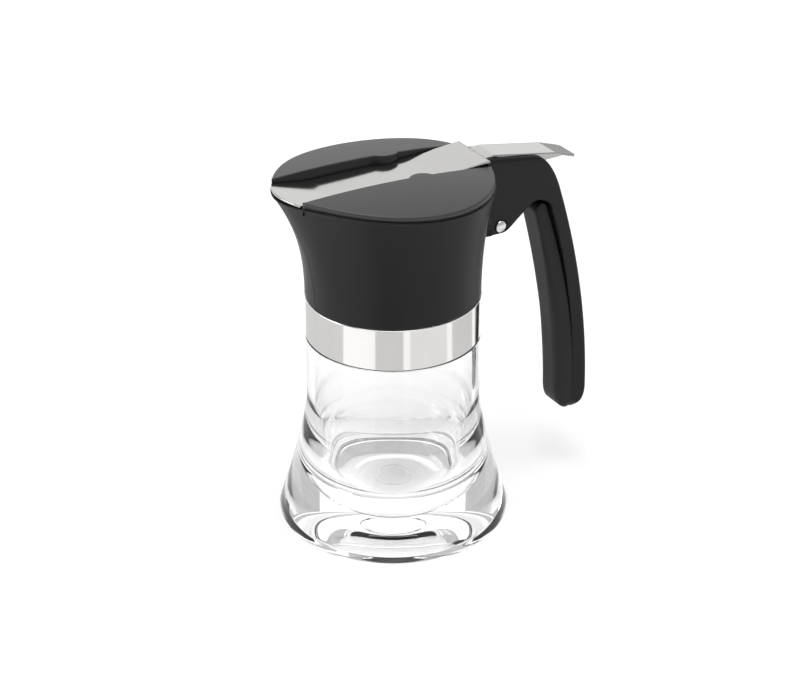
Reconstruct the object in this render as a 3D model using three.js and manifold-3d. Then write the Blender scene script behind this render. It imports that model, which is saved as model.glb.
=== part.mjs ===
// Table honey dispenser: a flared glass jar, a polished band and a black pouring head with a side handle.
// A steel cover lies in a channel across the lid and rocks on a pin in the handle's arm, lifting off the spout.
// Millimetres, +Z up. The origin is the centre of the jar's foot, the spout points to -X and the handle to +X.

import * as THREE from 'three';
import { mergeVertices } from 'three/addons/utils/BufferGeometryUtils.js';
import Module from 'manifold-3d';

const wasm = await Module();
wasm.setup();

// Glass jar
const FOOT_RADIUS = 45;
const FOOT_EDGE_HEIGHT = 3.5;
const FOOT_EDGE_ROUND = 2.8;
const NECK_RADIUS = 33.4;
const FLARE_TOP = 52;
const FLARE_POWER = 1.35;
const BORE_RADIUS = 30.4;
const FLOOR_HEIGHT = 6;
const FLOOR_FLAT_RADIUS = 9.5;
const FLOOR_SWEEP_HEIGHT = 27;
const COLLAR_RADIUS = 31.9;
const JAR_TOP = 93;

// Steel band
const BAND_BOTTOM = 79.2;
const BAND_TOP = 95.7;
const BAND_RADIUS = 33.5;
const BAND_WALL = 1.3;
const BAND_CHAMFER = 0.3;

// Pouring head
const HEAD_BOTTOM = 96;
const HEAD_BASE_RADIUS = 33.35;
const HEAD_FLARE_POWER = 2.1;
const HEAD_WALL = 2.4;
const RIM_MEAN_RADIUS = 39.08;
const RIM_SWELLS = [2.47, 1.27, 0.95];
const SPOUT_REACH = 3.8;
const SPOUT_SPREAD = 0.35;
const SPOUT_DIP = 0.8;
const RIM_LIP = 0.3;
const LID_EDGE = 2.2;

// Lid: a shallow dome, tilted up towards the spout, with a channel from spout to handle
const DOME_TOP = 146.84;
const DOME_TILT = 0.051;
const DOME_ALONG = 0.001142;
const DOME_ACROSS = 0.003478;
const PLUG_BOTTOM = 139.4;
const PLUG_GAP = 0.4;
const CHANNEL_HALF = 11.95;
const CHANNEL_FLOOR = 141.6;
const BOSS_X = 4.6;
const BOSS_RADIUS = 6.2;
const BOSS_REACH = 2.3;
const POUR_HOLE_FRONT = -40;
const POUR_HOLE_BACK = -31;
const POUR_HOLE_HALF = 8;

// Steel cover plate
const PLATE_THICK = 0.8;
const PLATE_HALF = 11.2;
const PLATE_LEVEL = 143;
const FRONT_FOLD_X = -29.8;
const REAR_FOLD_X = 12.5;
const PLATE_REAR_X = 35.5;
const FRONT_RISE = 0.134;
const REAR_RISE = 0.083;
const NOTCH_GAP = 0.65;
const NOTCH_TRAVEL = 2.8;

// Thumb lever: a strip with side flanges that reach down to the pin
const STRIP_THICK = 0.9;
const STRIP_HALF = 5.95;
const STRIP_START_X = 24;
const STRIP_BEND_X = 40.5;
const STRIP_TIP_BEND = [68.5, 139.3];
const STRIP_TIP = [77.6, 136.3];
const STRIP_CORNER = 1.5;
const FLANGE_THICK = 0.9;
const FLANGE_START_X = 41.2;
const FLANGE_FOOT_RADIUS = 2.7;

// Handle
const ARM_HALF = 8;
const ARM_ROUND = 1.6;
const GRIP_TAPER_TOP = 118;
const GRIP_BOTTOM = 24.3;
const GRIP_END_TOP = 32;
const SPINE_INNER_X = 79.9;
const SPINE_OUTER_X = 87.2;
const GRIP_TAPER = 0.18;
const INSERT_HALF = 5.7;
const INSERT_ROUND = 1.2;
const SLOT_HALF = 6.4;

// Pin
const PIN = [42.8, 115.1];
const PIN_RADIUS = 1.5;
const PIN_HEAD_RADIUS = 2.4;
const PIN_HEAD_HEIGHT = 1.3;
const SINK_RADIUS = 2.9;
const SINK_DEPTH = 0.8;

const GAP = 0.3;

// Booleans on closed meshes

function toSolid(geometry) {
  const bare = geometry.index ? geometry.toNonIndexed() : geometry.clone();
  bare.deleteAttribute('normal');
  bare.deleteAttribute('uv');
  const merged = mergeVertices(bare, 1e-4);
  const corners = merged.index.array;
  const triangles = [];
  for (let i = 0; i < corners.length; i += 3) {
    const [a, b, c] = [corners[i], corners[i + 1], corners[i + 2]];
    if (a !== b && b !== c && c !== a) triangles.push(a, b, c);
  }
  return new wasm.Manifold(new wasm.Mesh({
    numProp: 3,
    vertProperties: new Float32Array(merged.attributes.position.array),
    triVerts: new Uint32Array(triangles),
  }));
}

function toMesh(name, solid, material) {
  const mesh = solid.getMesh();
  const geometry = new THREE.BufferGeometry();
  geometry.setAttribute('position', new THREE.BufferAttribute(new Float32Array(mesh.vertProperties), 3));
  geometry.setIndex(new THREE.BufferAttribute(new Uint32Array(mesh.triVerts), 1));
  geometry.computeVertexNormals();
  const result = new THREE.Mesh(geometry, material);
  result.name = name;
  return result;
}

// Shapes

// A profile of [radius, height] pairs turned about the vertical axis.
function turned(profile, segments) {
  const geometry = new THREE.LatheGeometry(profile.map(([r, z]) => new THREE.Vector2(r, z)), segments);
  geometry.rotateX(Math.PI / 2);
  return geometry;
}

// A turned unit form whose every vertex is then placed by place(reach, level, angle from the spout).
function polarSolid(profile, segments, place) {
  const geometry = turned(profile, segments);
  const position = geometry.attributes.position;
  for (let i = 0; i < position.count; i += 1) {
    const [x, y] = [position.getX(i), position.getY(i)];
    const reach = Math.hypot(x, y);
    const angle = reach < 1e-6 ? 0 : Math.atan2(y, -x);
    const [radius, z] = place(reach, position.getZ(i), angle);
    position.setXYZ(i, -radius * Math.cos(angle), radius * Math.sin(angle), z);
  }
  return toSolid(geometry);
}

// The outline's points, without the doubled ones where two curves meet.
function withoutRepeats(shape, curveSegments) {
  const points = shape.getPoints(curveSegments);
  return new THREE.Shape(points.filter((point, i) => point.distanceTo(points[(i + 1) % points.length]) > 1e-3));
}

// An outline drawn in X and Z, extruded to both sides of the Y = 0 plane, with rounded edges where asked.
function sideExtrusion(shape, half, round = 0, curveSegments = 6) {
  const geometry = new THREE.ExtrudeGeometry(withoutRepeats(shape, curveSegments), {
    depth: 2 * (half - round),
    bevelEnabled: round > 0,
    bevelThickness: round,
    bevelSize: round,
    bevelOffset: -round,
    bevelSegments: 3,
  });
  geometry.rotateX(Math.PI / 2);
  geometry.translate(0, half - round, 0);
  return geometry;
}

// An outline drawn in X and Y, extruded upwards from bottom to top.
function planExtrusion(shape, bottom, top, curveSegments = 12) {
  const geometry = new THREE.ExtrudeGeometry(shape, { depth: top - bottom, curveSegments, bevelEnabled: false });
  geometry.translate(0, 0, bottom);
  return toSolid(geometry);
}

function shapeThrough(points) {
  return new THREE.Shape(points.map(([x, y]) => new THREE.Vector2(x, y)));
}

function box(x0, x1, half, z0, z1) {
  const geometry = new THREE.BoxGeometry(x1 - x0, 2 * half, z1 - z0);
  geometry.translate((x0 + x1) / 2, 0, (z0 + z1) / 2);
  return toSolid(geometry);
}

function uprightCylinder(x, y, radius, z0, z1) {
  const geometry = new THREE.CylinderGeometry(radius, radius, z1 - z0, 48);
  geometry.rotateX(Math.PI / 2);
  geometry.translate(x, y, (z0 + z1) / 2);
  return toSolid(geometry);
}

function crossCylinder(x, z, radius, y0, y1, segments = 24) {
  const geometry = new THREE.CylinderGeometry(radius, radius, y1 - y0, segments);
  geometry.translate(x, (y0 + y1) / 2, z);
  return toSolid(geometry);
}

// Surfaces that the head and the lid share

// How far a direction lies within the spout: 1 at its tip, falling off to both sides.
function spoutShare(angle) {
  return Math.exp(-((angle / SPOUT_SPREAD) ** 2));
}

// The rim's radius in plan: an egg, with the spout pulled out at angle 0.
function rimRadius(angle) {
  const egg = RIM_SWELLS.reduce((sum, swell, i) => sum + swell * Math.cos((i + 1) * angle), RIM_MEAN_RADIUS);
  return egg + SPOUT_REACH * spoutShare(angle);
}

function domeHeight(x, y) {
  return DOME_TOP - DOME_TILT * x - DOME_ALONG * x * x - DOME_ACROSS * y * y;
}

function rimHeight(angle) {
  const radius = rimRadius(angle);
  const top = domeHeight(-radius * Math.cos(angle), radius * Math.sin(angle));
  return top - LID_EDGE - SPOUT_DIP * spoutShare(angle);
}

// Glass jar

function jarRadius(z) {
  const drop = Math.max(0, FLARE_TOP - z) / (FLARE_TOP - FOOT_EDGE_HEIGHT);
  return NECK_RADIUS + (FOOT_RADIUS - NECK_RADIUS) * drop ** FLARE_POWER;
}

// Points along an arc, from one angle to another.
function arcPoints(centerX, centerZ, radiusX, radiusZ, from, to, steps) {
  return Array.from({ length: steps + 1 }, (_, i) => {
    const angle = from + (to - from) * i / steps;
    return [centerX + radiusX * Math.cos(angle), centerZ + radiusZ * Math.sin(angle)];
  });
}

function jar() {
  const edge = arcPoints(
    FOOT_RADIUS - FOOT_EDGE_ROUND, FOOT_EDGE_HEIGHT, FOOT_EDGE_ROUND, FOOT_EDGE_HEIGHT, -Math.PI / 2, 0, 5,
  );
  const flareHeights = [7, 11, 16, 21, 26, 31, 36, 41, 46, FLARE_TOP];
  const flare = flareHeights.map((z) => [jarRadius(z), z]);
  const shoulder = BAND_BOTTOM - GAP;
  const sweep = arcPoints(
    FLOOR_FLAT_RADIUS, FLOOR_HEIGHT + FLOOR_SWEEP_HEIGHT,
    BORE_RADIUS - FLOOR_FLAT_RADIUS, FLOOR_SWEEP_HEIGHT, 0, -Math.PI / 2, 9,
  );
  const profile = [
    [0, 0],
    ...edge,
    ...flare,
    [NECK_RADIUS, shoulder],
    [COLLAR_RADIUS, shoulder],
    [COLLAR_RADIUS, JAR_TOP],
    [BORE_RADIUS, JAR_TOP],
    ...sweep,
    [0, FLOOR_HEIGHT],
  ];
  return toSolid(turned(profile, 64));
}

function collarBand() {
  const inner = BAND_RADIUS - BAND_WALL;
  const profile = [
    [inner, BAND_BOTTOM],
    [BAND_RADIUS - BAND_CHAMFER, BAND_BOTTOM],
    [BAND_RADIUS, BAND_BOTTOM + BAND_CHAMFER],
    [BAND_RADIUS, BAND_TOP - BAND_CHAMFER],
    [BAND_RADIUS - BAND_CHAMFER, BAND_TOP],
    [inner, BAND_TOP],
    [inner, BAND_BOTTOM],
  ];
  return toSolid(turned(profile, 72));
}

// Head and handle

// Radius of the head's outer wall at a share of its height, less the depth below the surface.
function headWall(share, angle, depth) {
  const clamped = Math.min(Math.max(share, 0), 1);
  const flare = (rimRadius(angle) + RIM_LIP - HEAD_BASE_RADIUS) * clamped ** HEAD_FLARE_POWER;
  return HEAD_BASE_RADIUS + flare - depth;
}

function headForm(depth, shares) {
  const profile = [[0, shares[0]], ...shares.map((share) => [1, share]), [0, shares[shares.length - 1]]];
  return polarSolid(profile, 80, (reach, share, angle) => {
    const height = reach > 0.5 ? rimHeight(angle) : rimHeight(Math.PI / 2);
    return [reach * headWall(share, angle, depth), HEAD_BOTTOM + share * (height - HEAD_BOTTOM)];
  });
}

function handleOutline() {
  const shape = new THREE.Shape();
  shape.moveTo(33, 112);
  shape.lineTo(43.4, 112);
  shape.quadraticCurveTo(45.4, 112, 47, 113.4);
  shape.lineTo(56.6, 121.4);
  shape.quadraticCurveTo(59.5, 122.8, 62.8, 121.2);
  shape.quadraticCurveTo(66, 119.6, 66.25, 116.4);
  shape.quadraticCurveTo(80, 75, SPINE_INNER_X, GRIP_END_TOP);
  shape.lineTo(SPINE_INNER_X, GRIP_BOTTOM);
  shape.quadraticCurveTo(SPINE_OUTER_X, GRIP_BOTTOM, SPINE_OUTER_X, GRIP_END_TOP + 1);
  shape.quadraticCurveTo(86, 77.1, 70.4, 123.8);
  shape.quadraticCurveTo(65.5, 139.5, 57, 140.8);
  shape.lineTo(33, 144.5);
  shape.closePath();
  return shape;
}

// The grip narrows in width towards its lower end.
function narrowDownwards(geometry) {
  const position = geometry.attributes.position;
  for (let i = 0; i < position.count; i += 1) {
    const share = (GRIP_TAPER_TOP - position.getZ(i)) / (GRIP_TAPER_TOP - GRIP_BOTTOM);
    position.setY(i, position.getY(i) * (1 - GRIP_TAPER * Math.min(Math.max(share, 0), 1)));
  }
  return geometry;
}

function handleArm() {
  return toSolid(narrowDownwards(sideExtrusion(handleOutline(), ARM_HALF, ARM_ROUND)));
}

// Hollow curves that carry the head's round wall into the arm's flat sides.
function armRoots() {
  const plan = new THREE.Shape();
  plan.moveTo(29, -15.5);
  plan.quadraticCurveTo(34.5, -8, 42, -7.9);
  plan.lineTo(42, 7.9);
  plan.quadraticCurveTo(34.5, 8, 29, 15.5);
  plan.closePath();
  const side = shapeThrough([[28, 112.8], [42, 112.8], [42, 142.6], [28, 144]]);
  return planExtrusion(plan, 100, 150).intersect(toSolid(sideExtrusion(side, 16)));
}

// The space above the rim that the lid fills, so that the arm stops short of the lid's edge.
function lidSpace() {
  const profile = [[0, 0], [0.9, 0], [1, 0], [1, 1], [0, 1]];
  return polarSolid(profile, 80, (reach, level, angle) => {
    const floor = reach > 0.5 ? rimHeight(angle) : rimHeight(Math.PI / 2);
    return [reach * (rimRadius(angle) + GAP), level > 0.5 ? DOME_TOP + 8 : floor];
  });
}

// The slot between the arm's two cheeks, where the lever's flanges go down to the pin.
function leverSlot() {
  const outline = shapeThrough([
    [34, 160], [34, 142.2], [38.6, 142.2], [38.6, 108],
    [46.8, 108], [51, 127], [64.5, 131.6], [90, 128], [90, 160],
  ]);
  return toSolid(sideExtrusion(outline, SLOT_HALF));
}

function pinHoles() {
  const reach = ARM_HALF + 2;
  const sinkFloor = ARM_HALF - SINK_DEPTH;
  return crossCylinder(...PIN, PIN_RADIUS + GAP, -reach, reach)
    .add(crossCylinder(...PIN, SINK_RADIUS, sinkFloor, reach))
    .add(crossCylinder(...PIN, SINK_RADIUS, -reach, -sinkFloor));
}

function head() {
  const outer = headForm(0, [0, 0.15, 0.3, 0.44, 0.57, 0.69, 0.8, 0.9, 1]);
  const hollow = headForm(HEAD_WALL, [-0.05, 0, 0.3, 0.57, 0.8, 0.9, 1, 1.06]);
  return outer
    .add(handleArm())
    .add(armRoots())
    .subtract(hollow)
    .subtract(lidSpace())
    .subtract(leverSlot())
    .subtract(pinHoles());
}

// Lid

function lidCap() {
  const rings = [1, 0.985, 0.9, 0.78, 0.65, 0.5, 0.35, 0.18];
  const profile = [[0, 0], [0.9, 0], [1, 0], ...rings.map((reach) => [reach, 1]), [0, 1]];
  return polarSolid(profile, 80, (reach, level, angle) => {
    const radius = reach * (rimRadius(angle) - 0.1);
    const top = domeHeight(-radius * Math.cos(angle), radius * Math.sin(angle)) - (reach > 0.99 ? 0.5 : 0);
    const floor = reach > 0.5 ? rimHeight(angle) + GAP : PLUG_BOTTOM + 1;
    return [radius, level > 0.5 ? top : floor];
  });
}

function lidPlug() {
  const profile = [[0, 0], [1, 0], [1, 1], [0, 1]];
  return polarSolid(profile, 80, (reach, level, angle) => {
    const share = (PLUG_BOTTOM - HEAD_BOTTOM) / (rimHeight(angle) - HEAD_BOTTOM);
    return [reach * headWall(share, angle, HEAD_WALL + PLUG_GAP), level > 0.5 ? CHANNEL_FLOOR : PLUG_BOTTOM];
  });
}

function bosses(radius, travel, bottom, top) {
  const y = CHANNEL_HALF + BOSS_RADIUS - BOSS_REACH;
  const starts = travel > 0 ? [BOSS_X, BOSS_X - travel / 2, BOSS_X - travel] : [BOSS_X];
  const columns = starts.flatMap((x) => [-y, y].map((side) => uprightCylinder(x, side, radius, bottom, top)));
  return columns.reduce((sum, column) => sum.add(column));
}

function channel() {
  const high = DOME_TOP + 10;
  return box(-60, 60, CHANNEL_HALF, CHANNEL_FLOOR, high)
    .subtract(bosses(BOSS_RADIUS, 0, CHANNEL_FLOOR - 1, high + 1))
    .add(box(33.2, 60, CHANNEL_HALF, PLUG_BOTTOM - 1, high));
}

function pourHole() {
  const shape = new THREE.Shape();
  shape.moveTo(POUR_HOLE_BACK, -POUR_HOLE_HALF);
  shape.lineTo(POUR_HOLE_BACK, POUR_HOLE_HALF);
  shape.lineTo(POUR_HOLE_FRONT + 5, POUR_HOLE_HALF);
  shape.quadraticCurveTo(POUR_HOLE_FRONT, 5, POUR_HOLE_FRONT, 0);
  shape.quadraticCurveTo(POUR_HOLE_FRONT, -5, POUR_HOLE_FRONT + 5, -POUR_HOLE_HALF);
  shape.closePath();
  return planExtrusion(shape, PLUG_BOTTOM - 2, CHANNEL_FLOOR + 2);
}

function lid() {
  return lidCap().add(lidPlug()).subtract(channel()).subtract(pourHole());
}

// Cover plate and thumb lever

function plateTop(x) {
  if (x < FRONT_FOLD_X) return PLATE_LEVEL + FRONT_RISE * (FRONT_FOLD_X - x);
  if (x > REAR_FOLD_X) return PLATE_LEVEL + REAR_RISE * (x - REAR_FOLD_X);
  return PLATE_LEVEL;
}

// A folded sheet seen from the side: the line of its lower face, then the upper line back again.
function sheetOutline(upper, thick) {
  const lower = upper.map(([x, z]) => [x, z - thick]);
  return shapeThrough([...lower, ...upper.slice().reverse()]);
}

function coverPlate() {
  const folds = [-52, FRONT_FOLD_X, REAR_FOLD_X, PLATE_REAR_X].map((x) => [x, plateTop(x)]);
  const sheet = toSolid(sideExtrusion(sheetOutline(folds, PLATE_THICK), PLATE_HALF));
  const rim = polarSolid([[0, 0], [1, 0], [1, 1], [0, 1]], 160, (reach, level, angle) => {
    return [reach * (rimRadius(angle) + 0.1), level > 0.5 ? 160 : 130];
  });
  return sheet.intersect(rim).subtract(bosses(BOSS_RADIUS + NOTCH_GAP, NOTCH_TRAVEL, 130, 160));
}

function stripTop(x) {
  const lap = PLATE_THICK + GAP;
  if (x <= STRIP_BEND_X) return plateTop(x) - lap;
  const bend = plateTop(STRIP_BEND_X) - lap;
  const fall = (bend - STRIP_TIP_BEND[1]) / (STRIP_TIP_BEND[0] - STRIP_BEND_X);
  return bend - fall * (x - STRIP_BEND_X);
}

function thumbStrip() {
  const upper = [
    [STRIP_START_X, stripTop(STRIP_START_X)],
    [STRIP_BEND_X - 1, stripTop(STRIP_BEND_X - 1)],
    [STRIP_BEND_X + 1, stripTop(STRIP_BEND_X + 1)],
    STRIP_TIP_BEND,
    STRIP_TIP,
  ];
  const tipCut = planExtrusion(tipOutline(), 120, 160, 6);
  return toSolid(sideExtrusion(sheetOutline(upper, STRIP_THICK), STRIP_HALF)).intersect(tipCut);
}

// The strip in plan, with its tip's corners rounded off.
function tipOutline() {
  const [tipX] = STRIP_TIP;
  const start = STRIP_START_X - 1;
  const corner = tipX - STRIP_CORNER;
  const wide = STRIP_HALF + 1;
  const shape = new THREE.Shape();
  shape.moveTo(start, -wide);
  shape.lineTo(tipX - 4, -wide);
  shape.lineTo(tipX - 4, -STRIP_HALF);
  shape.lineTo(corner, -STRIP_HALF);
  shape.quadraticCurveTo(tipX, -STRIP_HALF, tipX, -STRIP_HALF + STRIP_CORNER);
  shape.lineTo(tipX, STRIP_HALF - STRIP_CORNER);
  shape.quadraticCurveTo(tipX, STRIP_HALF, corner, STRIP_HALF);
  shape.lineTo(tipX - 4, STRIP_HALF);
  shape.lineTo(tipX - 4, wide);
  shape.lineTo(start, wide);
  shape.closePath();
  return shape;
}

// One flange seen from the side: a shallow lip under the strip that widens into a leg down to the pin.
function flangeOutline() {
  const [pinX, pinZ] = PIN;
  const shape = new THREE.Shape();
  shape.moveTo(FLANGE_START_X, stripTop(FLANGE_START_X) - 0.2);
  shape.lineTo(pinX - FLANGE_FOOT_RADIUS, pinZ);
  shape.absarc(pinX, pinZ, FLANGE_FOOT_RADIUS, Math.PI, 2 * Math.PI, false);
  shape.lineTo(49.6, 130);
  shape.quadraticCurveTo(52, 136.4, 62.8, 137.2);
  shape.lineTo(72, 137.5);
  shape.lineTo(...STRIP_TIP_BEND.map((value) => value - 0.2));
  shape.closePath();
  return shape;
}

function thumbLever() {
  const block = toSolid(sideExtrusion(flangeOutline(), STRIP_HALF));
  const between = box(30, 80, STRIP_HALF - FLANGE_THICK, 100, 160);
  return thumbStrip()
    .add(block.subtract(between))
    .subtract(crossCylinder(...PIN, PIN_RADIUS + GAP, -20, 20));
}

function pivotPin() {
  const half = ARM_HALF - SINK_DEPTH + GAP;
  const dome = arcPoints(0, half, PIN_HEAD_RADIUS, PIN_HEAD_HEIGHT, 0, Math.PI / 2, 5);
  const upper = [[PIN_RADIUS, half], ...dome.slice(0, -1), [0, half + PIN_HEAD_HEIGHT]];
  const lower = upper.map(([r, z]) => [r, -z]).reverse();
  const geometry = turned([...lower, ...upper], 24);
  geometry.rotateX(Math.PI / 2);
  geometry.translate(PIN[0], 0, PIN[1]);
  return toSolid(geometry);
}

// Soft insert on the grip's inner side

function insertOutline() {
  const shape = new THREE.Shape();
  const outerX = SPINE_INNER_X - GAP - 0.1;
  shape.moveTo(60.1, 116.2);
  shape.quadraticCurveTo(71.7, 75, 72.9, 36);
  shape.bezierCurveTo(73.1, 27.5, 75.5, GRIP_BOTTOM, outerX, GRIP_BOTTOM);
  shape.lineTo(outerX, GRIP_END_TOP);
  shape.quadraticCurveTo(79.6, 75, 65.84, 116.2);
  shape.absarc(62.97, 116.2, 2.87, 0, Math.PI, false);
  return shape;
}

function gripInsert() {
  return toSolid(sideExtrusion(insertOutline(), INSERT_HALF, INSERT_ROUND));
}

// Materials

function material(color, roughness, metalness) {
  return new THREE.MeshStandardMaterial({ color, roughness, metalness });
}

const glass = new THREE.MeshStandardMaterial({
  color: 0xf4f8f8, roughness: 0.03, metalness: 0, transparent: true, opacity: 0.3,
});

const dispenser = new THREE.Group();
dispenser.add(
  toMesh('jar', jar(), glass),
  toMesh('collar_band', collarBand(), material(0xd6d3cf, 0.12, 1)),
  toMesh('head', head(), material(0x1d1d1d, 0.42, 0)),
  toMesh('lid', lid(), material(0x232322, 0.4, 0)),
  toMesh('grip_insert', gripInsert(), material(0x202020, 0.5, 0)),
  toMesh('pivot_pin', pivotPin(), material(0xd0d0ce, 0.15, 1)),
);

const rocker = new THREE.Group();
rocker.add(
  toMesh('cover_plate', coverPlate(), material(0xd4d2cf, 0.2, 1)),
  toMesh('thumb_lever', thumbLever(), material(0xd2d0cd, 0.2, 1)),
);
dispenser.add(rocker);

export default dispenser;
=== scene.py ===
# Honey dispenser: flared clear jar, polished band, black pouring head with a side handle,
# and a steel cover that a thumb lever lifts off the spout.
# Shapes are worked out in millimetres in the CAD model's frame and put into the mesh in metres.
# The spout points to -X, the handle to +X, and the jar stands on Z = 0.
import math

import bmesh
import bpy
import numpy as np
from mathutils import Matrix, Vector


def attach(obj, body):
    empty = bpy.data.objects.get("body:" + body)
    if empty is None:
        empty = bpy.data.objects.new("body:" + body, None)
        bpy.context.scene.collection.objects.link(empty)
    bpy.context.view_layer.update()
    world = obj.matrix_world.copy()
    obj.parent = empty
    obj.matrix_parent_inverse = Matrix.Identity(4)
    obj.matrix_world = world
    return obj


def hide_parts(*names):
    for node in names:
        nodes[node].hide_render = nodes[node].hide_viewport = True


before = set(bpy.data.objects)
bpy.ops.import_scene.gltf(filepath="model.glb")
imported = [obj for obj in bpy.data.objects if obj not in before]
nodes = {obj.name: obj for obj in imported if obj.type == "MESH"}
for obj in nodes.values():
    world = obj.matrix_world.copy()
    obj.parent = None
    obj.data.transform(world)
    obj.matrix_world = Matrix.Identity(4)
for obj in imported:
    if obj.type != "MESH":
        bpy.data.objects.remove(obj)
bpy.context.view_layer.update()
print("frame loaded:", ", ".join(sorted(nodes)))

mm = 0.001
body = "dispenser"
cover = "cover"


# Meshes from arrays

def gridMesh(name, points, material, closedRows=False, closedColumns=True, smooth=True):
    # points[i, j] is the surface at row i and column j, in millimetres.
    # Neighbouring rows and columns are joined with four-sided faces; closed directions wrap round.
    # Rows that shrink to one point become poles, because equal points are merged.
    rows, columns = points.shape[:2]
    index = np.arange(rows * columns).reshape(rows, columns)
    here = index if closedRows else index[:-1]
    below = np.roll(index, -1, axis=0) if closedRows else index[1:]
    if closedColumns:
        quads = np.stack([here, np.roll(here, -1, axis=1), np.roll(below, -1, axis=1), below], axis=-1)
    else:
        quads = np.stack([here[:, :-1], here[:, 1:], below[:, 1:], below[:, :-1]], axis=-1)
    mesh = bpy.data.meshes.new(name)
    mesh.from_pydata((points.reshape(-1, 3) * mm).tolist(), [], quads.reshape(-1, 4).tolist())
    work = bmesh.new()
    work.from_mesh(mesh)
    bmesh.ops.remove_doubles(work, verts=work.verts, dist=2e-7)
    bmesh.ops.holes_fill(work, edges=work.edges, sides=0)
    bmesh.ops.recalc_face_normals(work, faces=work.faces)
    work.to_mesh(mesh)
    work.free()
    mesh.polygons.foreach_set("use_smooth", [smooth] * len(mesh.polygons))
    piece = bpy.data.objects.new(name, mesh)
    bpy.context.scene.collection.objects.link(piece)
    piece.data.materials.append(material)
    return piece


def turnedPoints(profile, segments):
    # profile[j] = (radius, height), carried round the vertical axis in equal steps.
    turn = np.linspace(0, 2 * np.pi, segments, endpoint=False)
    radius, height = np.asarray(profile).T
    x = radius[:, None] * np.cos(turn)
    y = radius[:, None] * np.sin(turn)
    return np.stack([x, y, np.broadcast_to(height[:, None], x.shape)], axis=-1)


def arc(centreR, centreZ, radiusR, radiusZ, fromDeg, toDeg, steps):
    # Points on an upright ellipse, from one angle to another.
    angle = np.radians(np.linspace(fromDeg, toDeg, steps + 1))
    return np.column_stack([centreR + radiusR * np.cos(angle), centreZ + radiusZ * np.sin(angle)])


def along(start, end, steps):
    # Evenly spaced points from start to end, both included.
    share = np.linspace(0, 1, steps + 1)[:, None]
    return (1 - share) * np.asarray(start, float) + share * np.asarray(end, float)


# Finishes

def newMaterial(name, **values):
    # A Principled material whose plain values sit on the shader's own sockets.
    material = bpy.data.materials.new(name)
    material.use_nodes = True
    shader = material.node_tree.nodes["Principled BSDF"]
    for socket, value in values.items():
        shader.inputs[socket.replace("_", " ")].default_value = value
    return material, material.node_tree, shader


def addNode(tree, kind, **settings):
    node = tree.nodes.new(kind)
    for key, value in settings.items():
        setattr(node, key, value)
    return node


def newGroup(name, inputs, outputs):
    # An empty node group with named sockets: {"Name": (type, default)}.
    group = bpy.data.node_groups.new(name, "ShaderNodeTree")
    for label, (kind, value) in inputs.items():
        group.interface.new_socket(label, in_out="INPUT", socket_type=kind).default_value = value
    for label, kind in outputs.items():
        group.interface.new_socket(label, in_out="OUTPUT", socket_type=kind)
    return group, group.nodes.new("NodeGroupInput"), group.nodes.new("NodeGroupOutput")


def mouldedGrainGroup():
    # Spark-eroded mould texture: fine pits with a slow drift in gloss and tone.
    group, given, result = newGroup(
        "mouldedGrain",
        {
            "Scale": ("NodeSocketFloat", 3000.0),
            "Depth": ("NodeSocketFloat", 0.3),
            "Base Rough": ("NodeSocketFloat", 0.4),
            "Rough Drift": ("NodeSocketFloat", 0.06),
            "Color": ("NodeSocketColor", (0.02, 0.02, 0.02, 1)),
            "Tone Drift": ("NodeSocketFloat", 0.15),
        },
        {"Color": "NodeSocketColor", "Roughness": "NodeSocketFloat", "Height": "NodeSocketFloat"},
    )
    link = group.links.new
    place = addNode(group, "ShaderNodeTexCoord")
    fine = addNode(group, "ShaderNodeTexNoise")
    fine.inputs["Detail"].default_value = 3
    slow = addNode(group, "ShaderNodeTexNoise")
    slow.inputs["Scale"].default_value = 45
    slow.inputs["Detail"].default_value = 4
    link(place.outputs["Object"], fine.inputs["Vector"])
    link(given.outputs["Scale"], fine.inputs["Scale"])
    link(place.outputs["Object"], slow.inputs["Vector"])
    depth = addNode(group, "ShaderNodeMath", operation="MULTIPLY")
    link(fine.outputs["Fac"], depth.inputs[0])
    link(given.outputs["Depth"], depth.inputs[1])
    link(depth.outputs[0], result.inputs["Height"])
    centred = addNode(group, "ShaderNodeMath", operation="SUBTRACT")
    link(slow.outputs["Fac"], centred.inputs[0])
    centred.inputs[1].default_value = 0.5
    rough = addNode(group, "ShaderNodeMath", operation="MULTIPLY_ADD")
    link(centred.outputs[0], rough.inputs[0])
    link(given.outputs["Rough Drift"], rough.inputs[1])
    link(given.outputs["Base Rough"], rough.inputs[2])
    link(rough.outputs[0], result.inputs["Roughness"])
    tone = addNode(group, "ShaderNodeMath", operation="MULTIPLY_ADD")
    link(centred.outputs[0], tone.inputs[0])
    link(given.outputs["Tone Drift"], tone.inputs[1])
    tone.inputs[2].default_value = 1
    tinted = addNode(group, "ShaderNodeVectorMath", operation="SCALE")
    link(given.outputs["Color"], tinted.inputs[0])
    link(tone.outputs[0], tinted.inputs["Scale"])
    link(tinted.outputs[0], result.inputs["Color"])
    return group


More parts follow.
